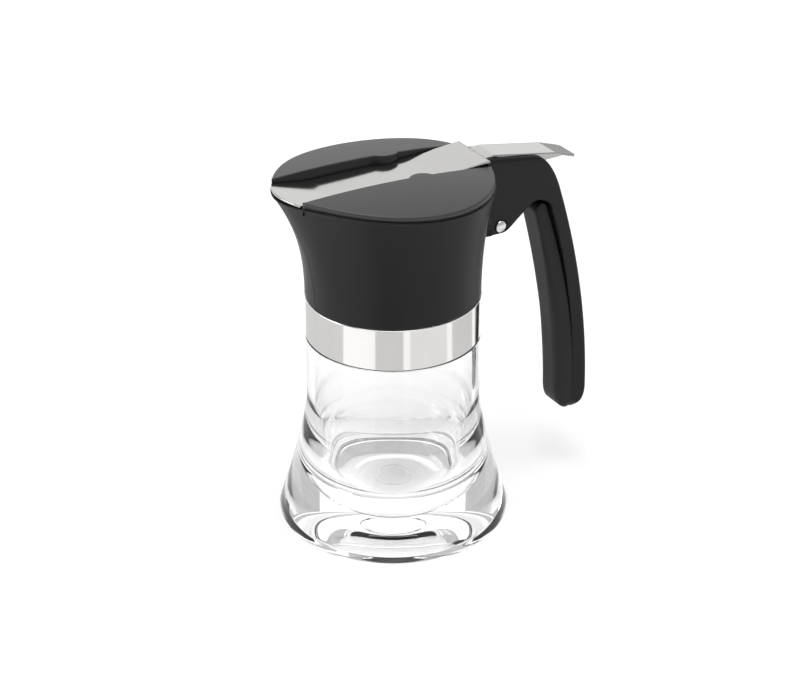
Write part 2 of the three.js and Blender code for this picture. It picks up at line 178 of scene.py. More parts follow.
def rolledGrainGroup():
    # Fine parallel lines left by rolling or polishing, as a value that shifts gloss and relief.
    group, given, result = newGroup(
        "rolledGrain",
        {
            "Stretch": ("NodeSocketVector", (1.0, 1.0, 1.0)),
            "Base Rough": ("NodeSocketFloat", 0.2),
            "Rough Drift": ("NodeSocketFloat", 0.1),
            "Depth": ("NodeSocketFloat", 0.1),
            "Color": ("NodeSocketColor", (0.7, 0.7, 0.7, 1)),
            "Tone Drift": ("NodeSocketFloat", 0.06),
        },
        {"Color": "NodeSocketColor", "Roughness": "NodeSocketFloat", "Height": "NodeSocketFloat"},
    )
    link = group.links.new
    place = addNode(group, "ShaderNodeTexCoord")
    stretched = addNode(group, "ShaderNodeVectorMath", operation="MULTIPLY")
    link(place.outputs["Object"], stretched.inputs[0])
    link(given.outputs["Stretch"], stretched.inputs[1])
    lines = addNode(group, "ShaderNodeTexNoise")
    lines.inputs["Scale"].default_value = 1
    lines.inputs["Detail"].default_value = 3
    link(stretched.outputs[0], lines.inputs["Vector"])
    centred = addNode(group, "ShaderNodeMath", operation="SUBTRACT")
    link(lines.outputs["Fac"], centred.inputs[0])
    centred.inputs[1].default_value = 0.5
    rough = addNode(group, "ShaderNodeMath", operation="MULTIPLY_ADD")
    link(centred.outputs[0], rough.inputs[0])
    link(given.outputs["Rough Drift"], rough.inputs[1])
    link(given.outputs["Base Rough"], rough.inputs[2])
    link(rough.outputs[0], result.inputs["Roughness"])
    depth = addNode(group, "ShaderNodeMath", operation="MULTIPLY")
    link(lines.outputs["Fac"], depth.inputs[0])
    link(given.outputs["Depth"], depth.inputs[1])
    link(depth.outputs[0], result.inputs["Height"])
    tone = addNode(group, "ShaderNodeMath", operation="MULTIPLY_ADD")
    link(centred.outputs[0], tone.inputs[0])
    link(given.outputs["Tone Drift"], tone.inputs[1])
    tone.inputs[2].default_value = 1
    tinted = addNode(group, "ShaderNodeVectorMath", operation="SCALE")
    link(given.outputs["Color"], tinted.inputs[0])
    link(tone.outputs[0], tinted.inputs["Scale"])
    link(tinted.outputs[0], result.inputs["Color"])
    return group


mouldedGrain = mouldedGrainGroup()
rolledGrain = rolledGrainGroup()


def grained(name, group, values, bumpStrength, bumpDistance, **plain):
    # A material whose colour, gloss and relief come from one of the grain groups.
    material, tree, shader = newMaterial(name, **plain)
    grain = addNode(tree, "ShaderNodeGroup", node_tree=group)
    for label, value in values.items():
        grain.inputs[label].default_value = value
    bump = addNode(tree, "ShaderNodeBump")
    bump.inputs["Strength"].default_value = bumpStrength
    bump.inputs["Distance"].default_value = bumpDistance
    tree.links.new(grain.outputs["Color"], shader.inputs["Base Color"])
    tree.links.new(grain.outputs["Roughness"], shader.inputs["Roughness"])
    tree.links.new(grain.outputs["Height"], bump.inputs["Height"])
    tree.links.new(bump.outputs["Normal"], shader.inputs["Normal"])
    return material


def clearGlassMaterial():
    # Pressed soda-lime glass: clear, with slow waves from the mould in its surface.
    material, tree, shader = newMaterial(
        "clearGlass", Metallic=0.0, Transmission_Weight=1.0, IOR=1.5,
        Base_Color=(0.965, 0.969, 0.966, 1),
    )
    place = addNode(tree, "ShaderNodeTexCoord")
    waves = addNode(tree, "ShaderNodeTexNoise")
    waves.inputs["Scale"].default_value = 60
    waves.inputs["Detail"].default_value = 1
    tree.links.new(place.outputs["Object"], waves.inputs["Vector"])
    bump = addNode(tree, "ShaderNodeBump")
    bump.inputs["Strength"].default_value = 0.15
    bump.inputs["Distance"].default_value = 0.0004
    tree.links.new(waves.outputs["Fac"], bump.inputs["Height"])
    tree.links.new(bump.outputs["Normal"], shader.inputs["Normal"])
    smear = addNode(tree, "ShaderNodeMapRange")
    smear.inputs["To Min"].default_value = 0.0
    smear.inputs["To Max"].default_value = 0.02
    tree.links.new(waves.outputs["Fac"], smear.inputs["Value"])
    tree.links.new(smear.outputs["Result"], shader.inputs["Roughness"])
    return material


clearGlass = clearGlassMaterial()
headPlastic = grained(
    "headPlastic", mouldedGrain,
    {"Scale": 2600.0, "Depth": 1.0, "Base Rough": 0.42, "Rough Drift": 0.08,
     "Color": (0.0065, 0.0065, 0.0067, 1), "Tone Drift": 0.25},
    0.4, 0.00008, Specular_IOR_Level=0.24,
)
lidPlastic = grained(
    "lidPlastic", mouldedGrain,
    {"Scale": 1700.0, "Depth": 1.0, "Base Rough": 0.45, "Rough Drift": 0.08,
     "Color": (0.012, 0.012, 0.0118, 1), "Tone Drift": 0.25},
    0.6, 0.00012, Specular_IOR_Level=0.78,
)
softGrip = grained(
    "softGrip", mouldedGrain,
    {"Scale": 3200.0, "Depth": 1.0, "Base Rough": 0.55, "Rough Drift": 0.08,
     "Color": (0.011, 0.011, 0.011, 1), "Tone Drift": 0.25},
    0.2, 0.00006, Specular_IOR_Level=0.27,
)
bandSteel = grained(
    "bandSteel", rolledGrain,
    {"Stretch": (60.0, 60.0, 2600.0), "Base Rough": 0.09, "Rough Drift": 0.07, "Depth": 1.0,
     "Color": (0.80, 0.79, 0.775, 1), "Tone Drift": 0.05},
    0.05, 0.00002, Metallic=1.0,
)
sheetSteel = grained(
    "sheetSteel", rolledGrain,
    {"Stretch": (120.0, 2400.0, 2400.0), "Base Rough": 0.12, "Rough Drift": 0.08, "Depth": 1.0,
     "Color": (0.41, 0.406, 0.397, 1), "Tone Drift": 0.12},
    0.08, 0.00003, Metallic=1.0,
)
pinSteel = grained(
    "pinSteel", rolledGrain,
    {"Stretch": (900.0, 900.0, 900.0), "Base Rough": 0.16, "Rough Drift": 0.1, "Depth": 1.0,
     "Color": (0.72, 0.72, 0.71, 1), "Tone Drift": 0.06},
    0.1, 0.00003, Metallic=1.0,
)
print("finishes made")


# Glass jar

jarShape = {
    "footRadius": 45.0, "footEdge": 3.5, "footRound": 2.8,
    "neckRadius": 33.4, "flareTop": 52.0, "flarePower": 1.35,
    "boreRadius": 30.4, "wellRadius": 30.2, "narrowTop": 45.0,
    "floorHeight": 6.0, "floorSweep": 27.0, "sweepWide": 0.767,
    "collarRadius": 31.9, "shoulder": 78.9, "top": 93.0,
    "underRise": 0.7, "ringRadius": 8.0, "ringHeight": 0.3, "ringWidth": 0.3,
    "segments": 176,
}


def jarOuterRadius(z):
    # Neck radius, plus a flare that grows with a power of the depth below the flare's top.
    s = jarShape
    drop = np.clip(s["flareTop"] - z, 0, None) / (s["flareTop"] - s["footEdge"])
    return s["neckRadius"] + (s["footRadius"] - s["neckRadius"]) * drop ** s["flarePower"]


def jarProfile():
    # One line from the axis under the foot, out and up the wall, over the mouth and down inside.
    # A low ring is pressed into the bowl's floor: height exp(-((r - ringRadius) / ringWidth)^2).
    s = jarShape
    under = s["footRadius"] - s["footRound"]
    flat = along([0, s["underRise"]], [under - 5, s["underRise"]], 40)
    step = along([under - 4.5, s["underRise"] * 0.8], [under - 2.5, 0.0], 6)
    edge = arc(under, s["footEdge"], s["footRound"], s["footEdge"], -90, 0, 24)
    heights = np.linspace(s["footEdge"] + 0.6, s["flareTop"], 90)
    flare = np.column_stack([jarOuterRadius(heights), heights])
    wall = along([s["neckRadius"], s["flareTop"] + 0.6], [s["neckRadius"], s["shoulder"] - 0.5], 40)
    shoulder = arc(s["neckRadius"] - 0.5, s["shoulder"] - 0.5, 0.5, 0.5, 0, 90, 6)
    collar = along([s["collarRadius"], s["shoulder"]], [s["collarRadius"], s["top"] - 0.6], 20)
    lipOut = arc(s["collarRadius"] - 0.6, s["top"] - 0.6, 0.6, 0.6, 0, 90, 6)
    lipIn = arc(s["boreRadius"] + 0.6, s["top"] - 0.6, 0.6, 0.6, 90, 180, 6)
    bore = along([s["boreRadius"], s["top"] - 1.2], [s["boreRadius"], s["narrowTop"] + 0.6], 60)
    share = np.linspace(0, 1, 70)
    narrow = np.column_stack([
        s["boreRadius"] + (s["wellRadius"] - s["boreRadius"]) * (3 * share ** 2 - 2 * share ** 3),
        s["narrowTop"] + (s["floorHeight"] + s["floorSweep"] + 0.3 - s["narrowTop"]) * share,
    ])
    sweep = arc(
        s["wellRadius"] - s["floorSweep"] * s["sweepWide"], s["floorHeight"] + s["floorSweep"],
        s["floorSweep"] * s["sweepWide"], s["floorSweep"], 0, -90, 60,
    )
    across = np.linspace(s["wellRadius"] - s["floorSweep"] * s["sweepWide"] - 0.1, 0, 110)
    ring = s["ringHeight"] * np.exp(-(((across - s["ringRadius"]) / s["ringWidth"]) ** 2))
    floor = np.column_stack([across, s["floorHeight"] + ring])
    return np.vstack([
        flat, step, edge, flare, wall, shoulder, collar, lipOut, lipIn, bore, narrow, sweep, floor,
    ])


jar = gridMesh("jarGlass", turnedPoints(jarProfile(), jarShape["segments"]), clearGlass)
jar.visible_shadow = False  # clear glass lets the light through to the table
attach(jar, body)
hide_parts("jar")
print("jar made")


# Steel band

bandShape = {
    "bottom": 79.2, "top": 95.7, "radius": 33.5, "wall": 1.3, "edge": 0.35, "segments": 256,
}


def bandProfile():
    # A plain ring whose outer edges are rolled over with a small radius.
    s = bandShape
    inner = s["radius"] - s["wall"]
    lower = arc(s["radius"] - s["edge"], s["bottom"] + s["edge"], s["edge"], s["edge"], -90, 0, 8)
    wall = along([s["radius"], s["bottom"] + s["edge"] + 0.2], [s["radius"], s["top"] - s["edge"] - 0.2], 16)
    upper = arc(s["radius"] - s["edge"], s["top"] - s["edge"], s["edge"], s["edge"], 0, 90, 8)
    inside = along([inner, s["top"]], [inner, s["bottom"]], 4)
    return np.vstack([lower, wall, upper, inside])


band = gridMesh("bandRing", turnedPoints(bandProfile(), bandShape["segments"]), bandSteel, closedRows=True)
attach(band, body)
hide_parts("collar_band")
print("band made")


# Lines and bars that the head, the handle and the lever are made of

def bezier(points, steps):
    # A Bezier curve from the first point to the last one, pulled by those between.
    share = np.linspace(0, 1, steps + 1)[:, None]
    level = [np.asarray(point, float) * np.ones_like(share) for point in points]
    while len(level) > 1:
        level = [(1 - share) * a + share * b for a, b in zip(level[:-1], level[1:])]
    return level[0]


def evenly(line, count):
    # The same line with count points, equally far apart along it.
    step = np.hypot(*np.diff(line, axis=0).T)
    line = line[np.concatenate([[True], step > 1e-6])]
    travel = np.concatenate([[0], np.cumsum(np.hypot(*np.diff(line, axis=0).T))])
    want = np.linspace(0, travel[-1], count)
    return np.column_stack([np.interp(want, travel, line[:, k]) for k in range(2)])


def paired(spans):
    # Two lines made of matching stretches: [(stretch of line A, stretch of line B, points)].
    first = [evenly(np.asarray(a, float), count)[:-1] for a, b, count in spans]
    second = [evenly(np.asarray(b, float), count)[:-1] for a, b, count in spans]
    return (np.vstack(first + [np.asarray(spans[-1][0], float)[-1:]]),
            np.vstack(second + [np.asarray(spans[-1][1], float)[-1:]]))


def barPoints(inner, outer, half, innerRound, outerRound, steps=6):
    # A bar between two lines in the X-Z plane, row i going from inner[i] to outer[i].
    # Its section is a rectangle with round corners, and half[i] is half its width across Y.
    span = np.hypot(*(outer - inner).T)
    direction = (outer - inner) / np.maximum(span, 1e-6)[:, None]
    half = half * np.ones_like(span)
    low = np.minimum(np.minimum(innerRound, span / 2.05), half / 1.02)
    high = np.minimum(np.minimum(outerRound, span / 2.05), half / 1.02)
    turn = np.linspace(0, np.pi / 2, steps + 1)
    # Half of the section: from the inner face's middle over the +Y side to the outer face's middle.
    depth = [np.zeros_like(span) for part in range(4)]
    width = [(half - low) * part / 4 for part in range(4)]
    depth += [low * (1 - np.cos(a)) for a in turn]
    width += [half - low + low * np.sin(a) for a in turn]
    depth += [low + part * (span - low - high) for part in np.linspace(0, 1, 10)[1:-1]]
    width += [half for part in range(8)]
    depth += [span - high * (1 - np.sin(a)) for a in turn]
    width += [half - high + high * np.cos(a) for a in turn]
    depth += [span for part in range(4)]
    width += [(half - high) * part / 4 for part in (3, 2, 1, 0)]
    depth, width = np.array(depth).T, np.array(width).T
    depth = np.concatenate([depth, depth[:, -2:0:-1]], axis=1)
    width = np.concatenate([width, -width[:, -2:0:-1]], axis=1)
    place = inner[:, None, :] + depth[..., None] * direction[:, None, :]
    return np.stack([place[..., 0], width, place[..., 1]], axis=-1)


def crossBlock(outline, half):
    # A plain block: an outline in X and Z carried from -half to +half across Y.
    line = np.asarray(outline, float)
    return np.stack([
        np.column_stack([line[:, 0], np.full(len(line), y), line[:, 1]]) for y in (-half, half)
    ])


def crossRod(place, radius, fromY, toY, sides=48):
    # A round rod along Y whose axis passes place = (x, z).
    turn = np.linspace(0, 2 * np.pi, sides, endpoint=False)
    ring = np.column_stack([place[0] + radius * np.cos(turn), place[1] + radius * np.sin(turn)])
    return np.stack([
        np.column_stack([ring[:, 0], np.full(sides, y), ring[:, 1]]) for y in (fromY, toY)
    ])


def cutAway(piece, blocks):
    # Takes closed blocks out of a piece and keeps its smooth shading except at sharp edges.
    for points in blocks:
        cutter = gridMesh("cutter", points, piece.data.materials[0], smooth=False)
        cut = piece.modifiers.new("cut", "BOOLEAN")
        cut.object, cut.operation, cut.solver = cutter, "DIFFERENCE", "EXACT"
        bpy.context.view_layer.update()
        solved = piece.evaluated_get(bpy.context.evaluated_depsgraph_get())
        mesh = bpy.data.meshes.new_from_object(solved)
        piece.modifiers.clear()
        piece.data = mesh
        bpy.data.objects.remove(cutter)
    work = bmesh.new()
    work.from_mesh(piece.data)
    bmesh.ops.remove_doubles(work, verts=work.verts, dist=2e-7)
    for edge in work.edges:
        edge.smooth = len(edge.link_faces) == 2 and edge.calc_face_angle(0) < 0.6
    for face in work.faces:
        face.smooth = True
    work.to_mesh(piece.data)
    work.free()


def enlist(piece, rider, node):
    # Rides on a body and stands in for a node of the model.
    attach(piece, rider)
    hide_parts(node)


# Shapes that the head and the lid share

rimShape = {
    "mean": 39.08, "swells": (2.47, 1.27, 0.95), "spoutReach": 3.8, "spoutSpread": 0.35,
    "spoutDip": 0.8, "lidEdge": 2.2,
}
domeShape = {"top": 146.84, "tilt": 0.051, "lengthwise": 0.001142, "crosswise": 0.003478}


def signedTurn(turn):
    # The same angle between -pi and pi.
    return (turn + np.pi) % (2 * np.pi) - np.pi


def spoutShare(turn):
    # 1 on the spout's centre line, falling off to both sides like a bell: exp(-(turn / spread)^2).
    return np.exp(-((signedTurn(turn) / rimShape["spoutSpread"]) ** 2))


def rimRadius(turn):
    # Egg in plan: mean radius plus three cosines of the angle from the spout, plus the spout's reach.
    egg = sum(swell * np.cos((k + 1) * turn) for k, swell in enumerate(rimShape["swells"]))
    return rimShape["mean"] + egg + rimShape["spoutReach"] * spoutShare(turn)


def domeHeight(x, y):
    # Shallow dome: top - tilt x - lengthwise x^2 - crosswise y^2.
    s = domeShape
    return s["top"] - s["tilt"] * x - s["lengthwise"] * x ** 2 - s["crosswise"] * y ** 2


def rimHeight(turn):
    # Top of the head's wall: a lid's thickness under the dome, a little lower at the spout.
    radius = rimRadius(turn)
    top = domeHeight(-radius * np.cos(turn), radius * np.sin(turn))
    return top - rimShape["lidEdge"] - rimShape["spoutDip"] * spoutShare(turn)


# Pouring head

headShape = {
    "bottom": 96.0, "baseRadius": 33.35, "flarePower": 2.1, "wall": 2.4, "lip": 0.3,
    "edge": 0.45, "seamRise": 0.1, "seamWidth": 0.16, "columns": 360, "rows": 96,
    "rootBottom": 112.0, "rootTop": 141.3, "rootFade": 141.6, "rootHalf": 7.98, "rootRound": 1.6,
    "rootFillet": 5.5, "rootEnd": 38.3,
}


def headWallRadius(share, turn):
    # Base radius plus a flare to the rim that grows with a power of the height's share.
    s = headShape
    flare = rimRadius(turn) + s["lip"] - s["baseRadius"]
    return s["baseRadius"] + flare * np.clip(share, 0, 1) ** s["flarePower"]


def rootRadius(wall, turn, z):
    # Where the arm leaves the wall, the surface follows a circle that touches the wall and the arm's side.
    # The circle's radius shrinks towards the root's bottom and top.
    s = headShape
    away = np.abs(signedTurn(turn - np.pi))
    lift = np.clip(z - s["rootBottom"], 0, s["rootRound"])
    half = s["rootHalf"] - s["rootRound"] + np.sqrt(s["rootRound"] ** 2 - (s["rootRound"] - lift) ** 2)
    below = np.clip((z - s["rootBottom"]) / 6, 0.15, 1)
    fillet = s["rootFillet"] * below * np.clip((s["rootFade"] - z) / 4, 0.12, 1)
    centreX = np.sqrt((wall + fillet) ** 2 - (half + fillet) ** 2)
    centreY = half + fillet
    onRay = centreX * np.cos(away) + centreY * np.sin(away)
    inside = onRay ** 2 - (centreX ** 2 + centreY ** 2 - fillet ** 2)
    hollow = onRay - np.sqrt(np.clip(inside, 0, None))
    touchWall = np.arctan2(centreY, centreX)
    touchSide = np.arctan2(half, centreX)
    end = s["rootEnd"] / np.cos(np.clip(away, 0, 1))
    reach = np.where(away > touchWall, wall, np.where(away > touchSide, hollow, end))
    rooted = (z > s["rootBottom"]) & (z < s["rootTop"])
    return np.where(rooted, np.maximum(np.minimum(reach, end), wall), wall)


def headPoints():
    # Columns run round the axis, closer together at the spout's seam and at the arm's root.
    # Rows run up the outside, over the rim and down the inside.
    s = headShape
    even = np.linspace(0, 2 * np.pi, s["columns"], endpoint=False)
    seam = np.radians(np.linspace(-1.2, 1.2, 21))
    root = np.pi + np.radians(np.concatenate([np.linspace(-24, -10, 36), np.linspace(10, 24, 36)]))
    turn = np.unique(np.round(np.concatenate([even, seam % (2 * np.pi), root]), 6))
    ledge = (s["rootBottom"] - s["bottom"]) / (rimHeight(np.pi) - s["bottom"])
    near = ledge + np.array([-0.002, 0.0002, 0.002, 0.005, 0.01, 0.018, 0.028, 0.036])
    share = np.sort(np.concatenate([np.linspace(0.012, 0.985, s["rows"]), near]))
    top = rimHeight(turn)
    ridge = s["seamRise"] * np.exp(-((signedTurn(turn) * 40 / s["seamWidth"]) ** 2))
    rolls = np.radians(np.linspace(-90, 0, 6))
    rows = [(headWallRadius(0, turn) - s["edge"] + (s["edge"] + ridge) * np.cos(a),
             s["bottom"] + s["edge"] * (1 + np.sin(a)) + 0 * turn) for a in rolls]
    heights = [s["bottom"] + part * (top - s["bottom"]) for part in share]
    rows += [(rootRadius(headWallRadius(part, turn), turn, z) + ridge, z) for part, z in zip(share, heights)]
    rolls = np.radians(np.linspace(0, 90, 7))
    rows += [(headWallRadius(1, turn) - s["edge"] + (s["edge"] + ridge) * np.cos(a),
              top - s["edge"] * (1 - np.sin(a))) for a in rolls]
    rows += [(headWallRadius(part, turn) - s["wall"], s["bottom"] + part * (top - s["bottom"]))
             for part in np.linspace(1, 0, 24)]
    return np.array([np.stack([-r * np.cos(turn), r * np.sin(turn), z], axis=-1) for r, z in rows])


head = gridMesh("headShell", headPoints(), headPlastic, closedRows=True)
enlist(head, body, "head")
print("head made")


# Handle: the arm over the hand and the grip's spine are one bar

handleShape = {
    "half": 8.0, "taper": 0.18, "taperTop": 118.0, "bottom": 24.3, "round": 1.6, "innerRound": 0.9,
    "startX": 37.25, "startRadius": 37.23, "startBlend": 3.0, "endRound": 3.2,
    "slotHalf": 6.4, "pin": (42.8, 115.1), "sinkRadius": 2.9, "sinkDepth": 0.8,
}


def gripHalf(height):
    # Half width: narrows evenly downwards, with the lower end drawn in as a quarter circle.
    s = handleShape
    narrow = np.clip((s["taperTop"] - height) / (s["taperTop"] - s["bottom"]), 0, 1)
    inset = 1 - np.sqrt(1 - np.clip(1 - (height - s["bottom"]) / s["endRound"], 0, 1) ** 2)
    return s["half"] * (1 - s["taper"] * narrow) - s["endRound"] * inset


def lowShare(height):
    # 0 in the grip's upper part, growing smoothly to 1 where spine and insert run together.
    share = np.clip((112 - height) / 72, 0, 1)
    return share * share * (3 - 2 * share)


def handlePoints():
    # Inner line against outer line, matched stretch by stretch from the head to the grip's lower end.
    s = handleShape
    inner, outer = paired([
        ([(s["startX"], 112), (43.4, 112)], [(s["startX"], 143.85), (44.6, 142.66)], 24),
        (bezier([(43.4, 112), (45.4, 112), (47, 113.4)], 8), [(44.6, 142.66), (48.2, 142.1)], 12),
        ([(47, 113.4), (56.6, 121.4)], [(48.2, 142.1), (57, 140.8)], 24),
        (bezier([(56.6, 121.4), (59.5, 122.8), (62.8, 121.2)], 16),
         bezier([(57, 140.8), (65.5, 139.5), (70.4, 123.8)], 40)[:27], 40),
        (bezier([(62.8, 121.2), (66, 119.6), (66.25, 116.4)], 16),
         bezier([(57, 140.8), (65.5, 139.5), (70.4, 123.8)], 40)[26:], 30),
        (bezier([(66.25, 116.4), (80, 75), (79.9, 32)], 60),
         bezier([(70.4, 123.8), (86, 77.1), (87.2, 33)], 60), 110),
        ([(79.9, 32), (79.9, 24.3)], bezier([(87.2, 33), (87.2, 24.3), (79.9, 24.3)], 30), 40),
    ])
    height = (inner[:, 1] + outer[:, 1]) / 2
    innerRound = s["innerRound"] * (1 - 0.95 * lowShare(height))
    points = barPoints(inner, outer, gripHalf(height), innerRound, s["round"])
    # The first face is hollowed so that the arm stops just short of the lid's round edge.
    hollow = np.sqrt(s["startRadius"] ** 2 - points[..., 1] ** 2)
    blend = s["startBlend"]
    ahead = points[..., 0] - s["startX"]
    moved = hollow + ahead * (s["startX"] + blend - hollow) / blend
    points[..., 0] = np.where(ahead < blend, moved, points[..., 0])
    return points


def handleCuts():
    # The lever's slot between the arm's cheeks, and a shallow sink round each end of the pin.
    s = handleShape
    slot = [(34, 160), (34, 142.2), (38.6, 142.2), (38.6, 105), (46.8, 105), (46.8, 108),
            (51, 127), (64.5, 131.6), (90, 128), (90, 160)]
    sink = s["half"] - s["sinkDepth"]
    return [crossBlock(slot, s["slotHalf"]), crossRod(s["pin"], s["sinkRadius"], sink, 12),
            crossRod(s["pin"], s["sinkRadius"], -12, -sink)]


handle = gridMesh("handleBar", handlePoints(), headPlastic)
cutAway(handle, handleCuts())
enlist(handle, body, "head")
print("handle made")


# Soft insert on the grip's inner side

insertShape = {
    "half": 5.7, "roundTop": 1.3, "roundEnd": 5.0, "seamRound": 0.8,
    "topCentre": (63.0, 116.2), "topRadius": 2.9,
}


def insertPoints():
    # From the lower tip up to a half-round top.
    s = insertShape
    inner, outer = paired([
        (bezier([(79.85, 24.32), (75.5, 24.3), (73.1, 27.5), (72.9, 36)], 40),
         [(79.85, 24.32), (79.85, 32)], 44),
        (bezier([(72.9, 36), (71.7, 75), (60.1, 116.2)], 60),
         bezier([(79.85, 32), (79.93, 75), (65.9, 116.2)], 60), 110),
    ])
    rise = np.linspace(0, np.pi / 2, 20)[1:, None]
    top = np.array(s["topCentre"])
    inner = np.vstack([inner, top + s["topRadius"] * np.hstack([-np.cos(rise), np.sin(rise)])])
    outer = np.vstack([outer, top + s["topRadius"] * np.hstack([np.cos(rise), np.sin(rise)])])
    height = (inner[:, 1] + outer[:, 1]) / 2
    down = lowShare(height)
    roundness = s["roundTop"] + (s["roundEnd"] - s["roundTop"]) * down
    half = (1 - down) * s["half"] + down * gripHalf(height)
    return barPoints(inner, outer, half, roundness, s["seamRound"] * (1 - 0.95 * down))


insert = gridMesh("gripInsert", insertPoints(), softGrip)
enlist(insert, body, "grip_insert")
print("grip insert made")


# Lid: two domed halves beside the channel, on a flat floor with the pour hole

lidShape = {
    "channelHalf": 11.95, "floorTop": 141.6, "floorBottom": 139.4, "edge": 0.55, "rimGap": 0.1,
    "bossX": 4.6, "bossY": 15.85, "bossRadius": 6.2, "bossHalf": 4.83, "rearCut": 33.2,
    "seat": 0.3, "seatWidth": 2.4, "sunk": 0.4,
    "plugInset": 2.8, "holeX": -35.5, "holeHalf": (4.5, 8.0), "holePower": 5,
}


def chordY(x):
    # The channel's side: straight, with a round bulge into the channel.
    s = lidShape
    bulge = s["bossY"] - np.sqrt(np.clip(s["bossRadius"] ** 2 - (x - s["bossX"]) ** 2, 0, None))
    return np.minimum(s["channelHalf"], bulge)


def rimCrossing(y, reach):
    # Angles at which the rim, moved out by reach, is y away from the centre line: one near the spout,
    # one at the rear.
    turn = np.linspace(0, np.pi, 20001)
    across = (rimRadius(turn) + reach) * np.sin(turn)
    widest = int(np.argmax(across))
    return np.interp(y, across[:widest], turn[:widest]), np.interp(-y, -across[widest:], turn[widest:])


def lidHalf(side):
    # Columns go from the front tip to the rear tip.
    # Rows run up the channel's side, over the dome and down at the rim.
    s = lidShape
    first, last = rimCrossing(s["channelHalf"], -s["rimGap"])
    endX = [-(rimRadius(t) - s["rimGap"]) * np.cos(t) for t in (first, last)]
    bump = s["bossX"] + np.linspace(-s["bossHalf"], s["bossHalf"], 44)
    x = np.concatenate([
        np.linspace(endX[0], bump[0], 60)[:-1], bump, np.linspace(bump[-1], endX[1], 50)[1:],
    ])
    turn = first + (last - first) * (x - endX[0]) / (endX[1] - endX[0])
    chord = np.stack([x, chordY(x)])
    rim = (rimRadius(turn) - s["rimGap"]) * np.stack([-np.cos(turn), np.sin(turn)])
    length = np.maximum(np.hypot(*(rim - chord)), 1e-9)
    ahead = (rim - chord) / length
    edge = np.minimum(s["edge"], length / 2.1)
    seat = rimHeight(turn) + s["seat"]
    low = s["floorTop"] - s["sunk"]
    rows = []

    def addRow(inset, drop=None, level=None):
        # A row inset from the channel's side, either drop below the dome or at a given level.
        place = chord + ahead * inset
        z = level if level is not None else domeHeight(place[0], place[1]) - drop
        rows.append(np.stack([place[0], side * place[1], z], axis=-1))

    for part in np.linspace(0, 1, 4):
        addRow(0 * edge, level=low + part * (domeHeight(*chord) - edge - low))
    for a in np.radians(np.linspace(10, 90, 7)):
        addRow(edge * (1 - np.cos(a)), drop=edge * (1 - np.sin(a)))
    for part in np.linspace(0, 1, 40)[1:-1]:
        addRow(edge + part * (length - 2 * edge), drop=0)
    for a in np.radians(np.linspace(0, 90, 8)):
        addRow(length - edge * (1 - np.sin(a)), drop=edge * (1 - np.cos(a)))
    addRow(length, level=seat)
    addRow(length - np.minimum(s["seatWidth"], length / 2), level=seat)
    addRow(0 * edge, level=np.minimum(seat, low))
    return np.array(rows)


def lidFloor():
    # A flat ring between the pour hole and the plug's edge, cut straight at the rear.
    s = lidShape
    turn = np.linspace(0, 2 * np.pi, 180, endpoint=False)
    share = (s["floorBottom"] - headShape["bottom"]) / (rimHeight(turn) - headShape["bottom"])
    radius = headWallRadius(share, turn) - s["plugInset"]
    outside = np.stack([-radius * np.cos(turn), radius * np.sin(turn)])
    rear = np.abs(outside[1]) < s["channelHalf"]
    outside[0] = np.where(rear, np.minimum(outside[0], s["rearCut"]), outside[0])
    # The hole is a rounded rectangle: |x|^n + |y|^n = 1, scaled to its half sizes.
    power = s["holePower"]
    size = (np.abs(np.cos(turn)) ** power + np.abs(np.sin(turn)) ** power) ** (-1 / power)
    halfX, halfY = s["holeHalf"]
    hole = np.stack([s["holeX"] - halfX * size * np.cos(turn), halfY * size * np.sin(turn)])
    rows = []
    for level, order in ((s["floorTop"], (0, 0.34, 0.67, 1)), (s["floorBottom"], (1, 0.67, 0.34, 0))):
        height = np.full_like(turn, level)
        rows += [np.stack([*(hole + part * (outside - hole)), height], axis=-1) for part in order]
    return np.array(rows)


for label, side in (("lidHalfRight", 1), ("lidHalfLeft", -1)):
    half = gridMesh(label, lidHalf(side), lidPlastic, closedRows=True, closedColumns=False)
    enlist(half, body, "lid")
lidBase = gridMesh("lidFloor", lidFloor(), lidPlastic, closedRows=True, smooth=False)
enlist(lidBase, body, "lid")
print("lid made")


# Cover plate: one folded sheet with a round notch in each side

plateShape = {
    "thick": 0.8, "half": 11.2, "level": 143.0, "frontFold": -29.8, "rearFold": 12.5, "rear": 35.5,
    "frontRise": 0.134, "rearRise": 0.083, "foldSoftness": 0.9, "edge": 0.22,
    "frontStart": -42.0, "rimReach": 0.02, "tipRoll": 0.08,
    "notchRadius": 6.85, "notchFrom": 1.8, "notchTo": 4.6, "notchY": 15.85,
}


def plateTop(x):
    # Flat in the middle, rising to both ends past two folds that are rounded like a softened corner.
    s = plateShape

    def ramp(d):
        return s["foldSoftness"] * np.logaddexp(0, d / s["foldSoftness"])

    return s["level"] + s["frontRise"] * ramp(s["frontFold"] - x) + s["rearRise"] * ramp(x - s["rearFold"])


def plateHalf(x):
    # Half width: straight sides with a round notch on each.
    s = plateShape
    off = np.maximum(np.maximum(x - s["notchTo"], s["notchFrom"] - x), 0)
    notch = s["notchY"] - np.sqrt(np.clip(s["notchRadius"] ** 2 - off ** 2, 0, None))
    return np.minimum(s["half"], notch)


